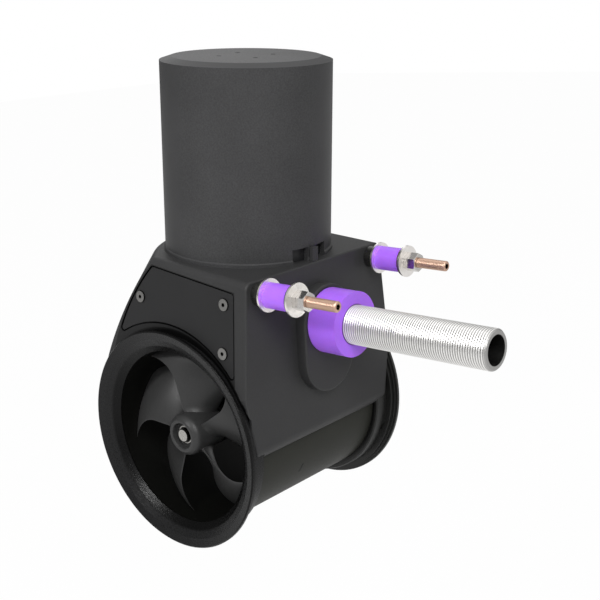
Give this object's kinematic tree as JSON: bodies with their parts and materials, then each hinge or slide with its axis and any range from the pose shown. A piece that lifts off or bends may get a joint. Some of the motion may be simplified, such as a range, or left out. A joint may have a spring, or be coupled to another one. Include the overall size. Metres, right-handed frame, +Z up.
{
  "type": "stern thruster",
  "caption": "External stern thruster: upright motor pot on a moulded saddle over a flared cross tunnel with a ducted propeller, conduit and studs for a transom.",
  "frame": {"origin": "where the conduit's axis meets the transom's outer face, at the foot of the conduit sleeve", "axes": "+X along the conduit into the boat, Y along the tunnel, +Z up"},
  "size_m": [0.3259, 0.181, 0.379],
  "materials": {
    "black_moulding": "fine-grained satin",
    "pot_shell": "fine-grained satin",
    "propeller_plastic": "smooth satin",
    "violet_polymer": "smooth",
    "black_rubber": "matt",
    "stainless": "bright",
    "bright_washer": "polished",
    "copper_stud": "satin",
    "steel": "ground",
    "cast_aluminium": "cast",
    "painted_yoke": "satin",
    "ferrite": "dull",
    "core_steel": "laminated",
    "copper": "enamelled",
    "carbon": "pressed",
    "phenolic": "dull",
    "spider_rubber": "matt"
  },
  "bodies": {
    "housing": {"mounting_saddle": "black_moulding", "tunnel_tube": "black_moulding", "near_bell_mouth": "black_moulding", "far_bell_mouth": "black_moulding", "near_side_cover": "black_moulding", "far_side_cover": "black_moulding", "gear_leg": "black_moulding", "pod_cap": "black_moulding", "motor_pot": "pot_shell", "conduit_sleeve": "violet_polymer", "stud_sleeves": "violet_polymer", "pot_seal": "black_rubber", "motor_shaft_seal": "black_rubber", "leg_seal": "black_rubber", "prop_shaft_seal": "black_rubber", "stud_seat_rings": "black_rubber", "stud_gaskets": "black_rubber", "conduit_pipe": "stainless", "stud_nuts": "stainless", "thin_nuts": "stainless", "cover_screws": "stainless", "motor_base_bolts": "stainless", "inner_washers": "bright_washer", "outer_washers": "bright_washer", "mounting_studs": "copper_stud", "lower_motor_bearing": "steel", "upper_motor_bearing": "steel", "lower_leg_bearing": "steel", "upper_leg_bearing": "steel", "front_prop_bearing": "steel", "rear_prop_bearing": "steel", "lower_end_bell": "cast_aluminium", "upper_end_bell": "cast_aluminium", "motor_yoke": "painted_yoke", "motor_base": "painted_yoke", "field_magnets": "ferrite", "motor_terminals": "copper", "carbon_brushes": "carbon", "brush_holder": "phenolic"},
    "propeller_set": {"propeller": "propeller_plastic", "propeller_nut": "stainless", "prop_shaft": "stainless", "crown_gear": "steel", "drive_pin": "stainless"},
    "motor_drive": {"motor_shaft": "steel", "armature_core": "core_steel", "armature_windings": "copper", "commutator": "copper", "upper_coupling_half": "cast_aluminium", "coupling_spider": "spider_rubber", "lower_coupling_half": "cast_aluminium", "pinion_shaft": "steel", "pinion_gear": "steel"}
  },
  "joints": [
    {"name": "motor_spin", "type": "hinge", "parent": "housing", "child": "motor_drive", "pos_m": [-0.0916, 0, -0.0887], "axis": [0.0802, 0, 0.9968], "continuous": true},
    {"name": "propeller_spin", "type": "hinge", "parent": "housing", "child": "propeller_set", "pos_m": [-0.0916, 0, -0.0887], "axis": [0, 1, 0], "continuous": true}
  ],
  "couplings": [
    {"joint": "propeller_spin", "follows": "motor_spin", "ratio": -0.66667}
  ]
}
